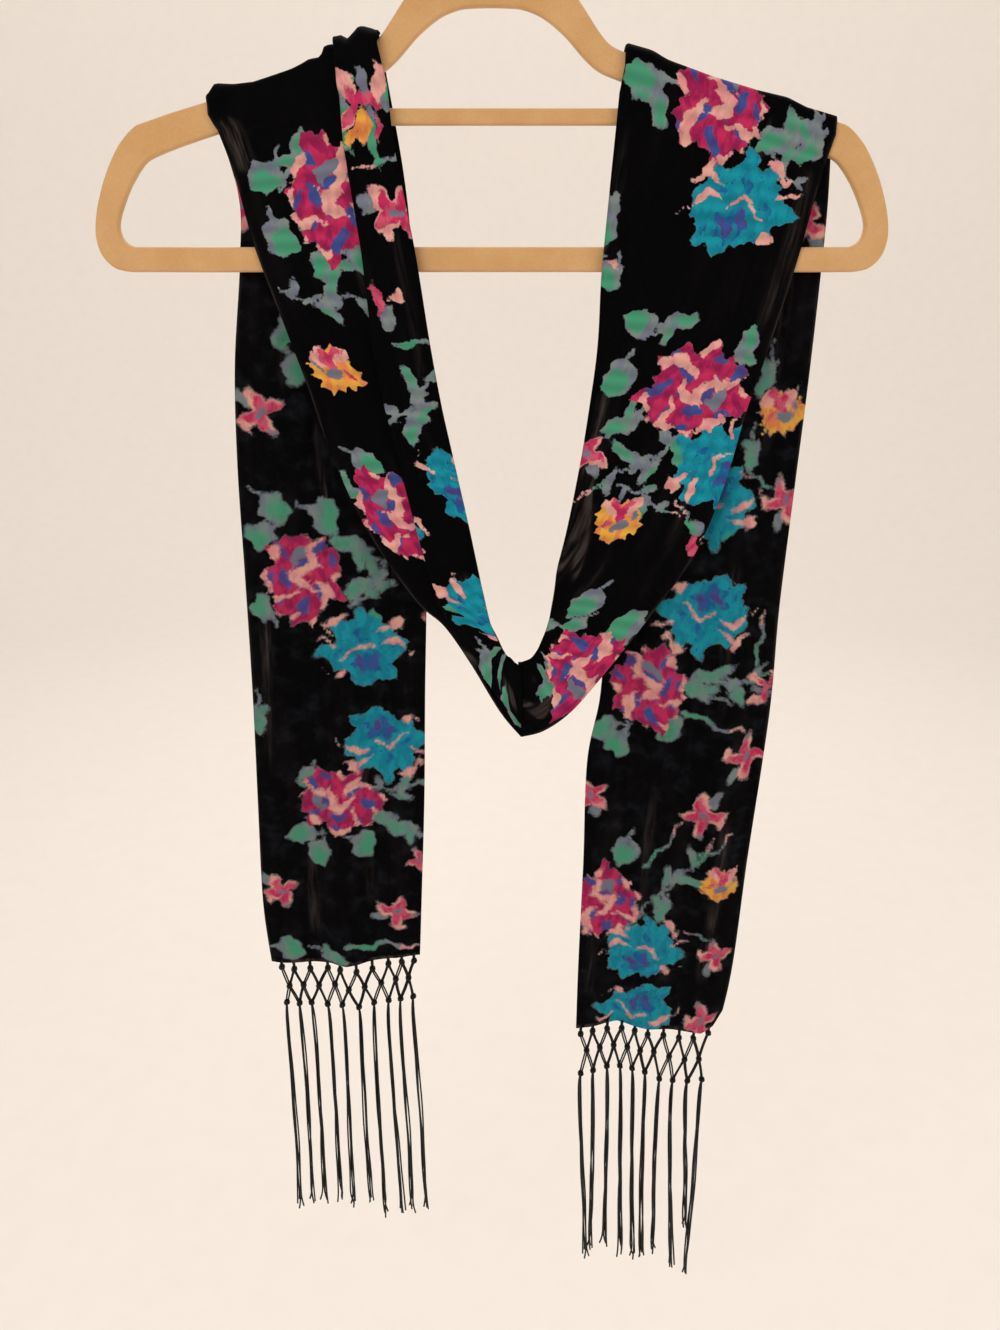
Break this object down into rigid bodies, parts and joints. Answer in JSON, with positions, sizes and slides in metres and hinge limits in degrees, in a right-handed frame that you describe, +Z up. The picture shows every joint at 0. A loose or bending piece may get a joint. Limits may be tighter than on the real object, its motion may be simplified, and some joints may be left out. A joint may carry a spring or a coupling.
{
  "type": "velvet scarf on a clothes hanger",
  "caption": "Long narrow velvet scarf draped over a flat clothes hanger in a V loop, both ends hanging behind with knotted fringes.",
  "frame": {"origin": "inside top of the hanger's hook, where a rail carries it", "axes": "+Z up, +X to the right seen from the front, +Y away from the viewer, from the V loop towards the tails"},
  "size_m": [0.4494, 0.0239, 1.009],
  "materials": {
    "printed_velvet": "black burnout velvet pile with printed roses and leaves",
    "printed_velvet_reverse": "the strip's other side, softer print and a faint bloom",
    "fringe_cord": "twisted black rayon cord, knotted",
    "flocked_plastic": "tan flocked plastic",
    "hook_wire": "polished wire"
  },
  "bodies": {
    "root": {"front_left": "printed_velvet", "front_right": "printed_velvet", "tail_left": "printed_velvet_reverse", "tail_right": "printed_velvet_reverse", "fringe_left": "fringe_cord", "fringe_right": "fringe_cord", "hanger": "flocked_plastic", "hanger_hook": "hook_wire"}
  },
  "joints": []
}
